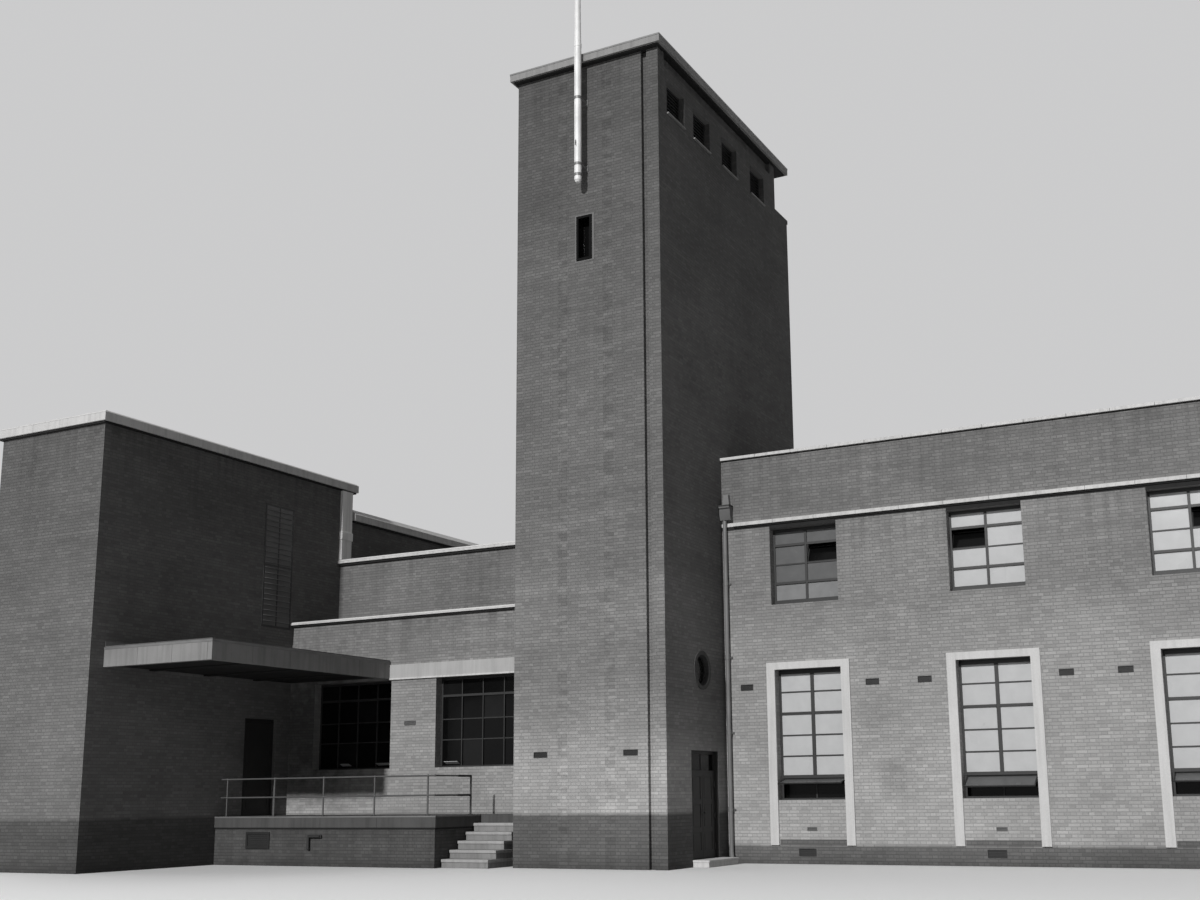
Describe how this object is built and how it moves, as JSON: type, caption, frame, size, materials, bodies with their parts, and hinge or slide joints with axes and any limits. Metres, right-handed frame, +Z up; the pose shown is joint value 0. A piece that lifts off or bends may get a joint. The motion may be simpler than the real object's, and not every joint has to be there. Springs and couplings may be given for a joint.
{
  "type": "brick factory building with a tall tower",
  "caption": "Flat-roofed brick factory: a tall stair tower with a thin projecting roof, a flagpole and a side door, between two lower wings, with a canopy over a raised loading dock.",
  "frame": {"origin": "centre of the tower's plan at ground level, on the underside of the tower's floor", "axes": "+Z up, +X to the right along the front, +Y towards the back"},
  "size_m": [30.5, 16.84, 23.2],
  "materials": {
    "brick": "grey facing brick with flush joints",
    "concrete": "pale cast concrete",
    "glazing": "dark window glass",
    "zinc": "weathered grey metal",
    "white_paint": "white painted timber pole",
    "painted_steel": "dark painted steel",
    "painted_timber": "dark painted boards",
    "roofing": "grey roofing felt"
  },
  "bodies": {
    "building": {"block_corner_strip": "concrete", "block_far_roof": "concrete", "block_floor": "concrete", "block_near_roof": "concrete", "block_right_wall": "brick", "block_walls": "brick", "canopy": "concrete", "dock_base": "brick", "dock_door_frame": "painted_timber", "dock_rail": "painted_steel", "dock_slab": "concrete", "dock_stairs": "concrete", "door_frame": "painted_timber", "door_step": "concrete", "flagpole": "white_paint", "left_floor": "concrete", "left_front_glass": "glazing", "left_front_wall": "brick", "left_lintel_band": "concrete", "left_low_roof": "concrete", "left_rear_wall": "brick", "left_upper_roof": "concrete", "left_upper_wall": "brick", "rain_pipe": "zinc", "rainwater_head": "zinc", "rear_lower_glass": "glazing", "rear_upper_glass": "glazing", "right_coping": "concrete", "right_end_wall": "brick", "right_first_floor": "concrete", "right_front_wall": "brick", "right_ground_floor": "concrete", "right_inner_wall": "brick", "right_lower_glass": "glazing", "right_rear_wall": "brick", "right_roof": "roofing", "right_string_course": "concrete", "right_upper_glass": "glazing", "right_window_surround_1": "concrete", "right_window_surround_2": "concrete", "right_window_surround_3": "concrete", "round_window_glass": "glazing", "round_window_ring": "concrete", "slit_glass": "glazing", "slit_surround": "concrete", "tower_floor": "concrete", "tower_front_wall": "brick", "tower_left_wall": "brick", "tower_rear_wall": "brick", "tower_rear_wall_top": "brick", "tower_right_wall": "brick", "tower_right_wall_front_pier": "brick", "tower_right_wall_low": "brick", "tower_roof_slab": "concrete", "tower_top_floor": "concrete", "tower_top_glass": "glazing"},
    "door_leaf_front": {"door_leaf_front": "painted_timber"},
    "door_leaf_rear": {"door_leaf_rear": "painted_timber"},
    "dock_door_leaf": {"dock_door_leaf": "painted_timber"}
  },
  "joints": [
    {"name": "door_front_hinge", "type": "hinge", "parent": "building", "child": "door_leaf_front", "pos_m": [1.918, -2.892, 0.166], "axis": [0, 0, -1], "range_deg": [0, 95]},
    {"name": "door_rear_hinge", "type": "hinge", "parent": "building", "child": "door_leaf_rear", "pos_m": [1.918, -1.548, 0.166], "axis": [0, 0, 1], "range_deg": [0, 95]},
    {"name": "dock_door_hinge", "type": "hinge", "parent": "building", "child": "dock_door_leaf", "pos_m": [-10.682, -3.882, 1.2063], "axis": [0, 0, -1], "range_deg": [0, 95]}
  ]
}
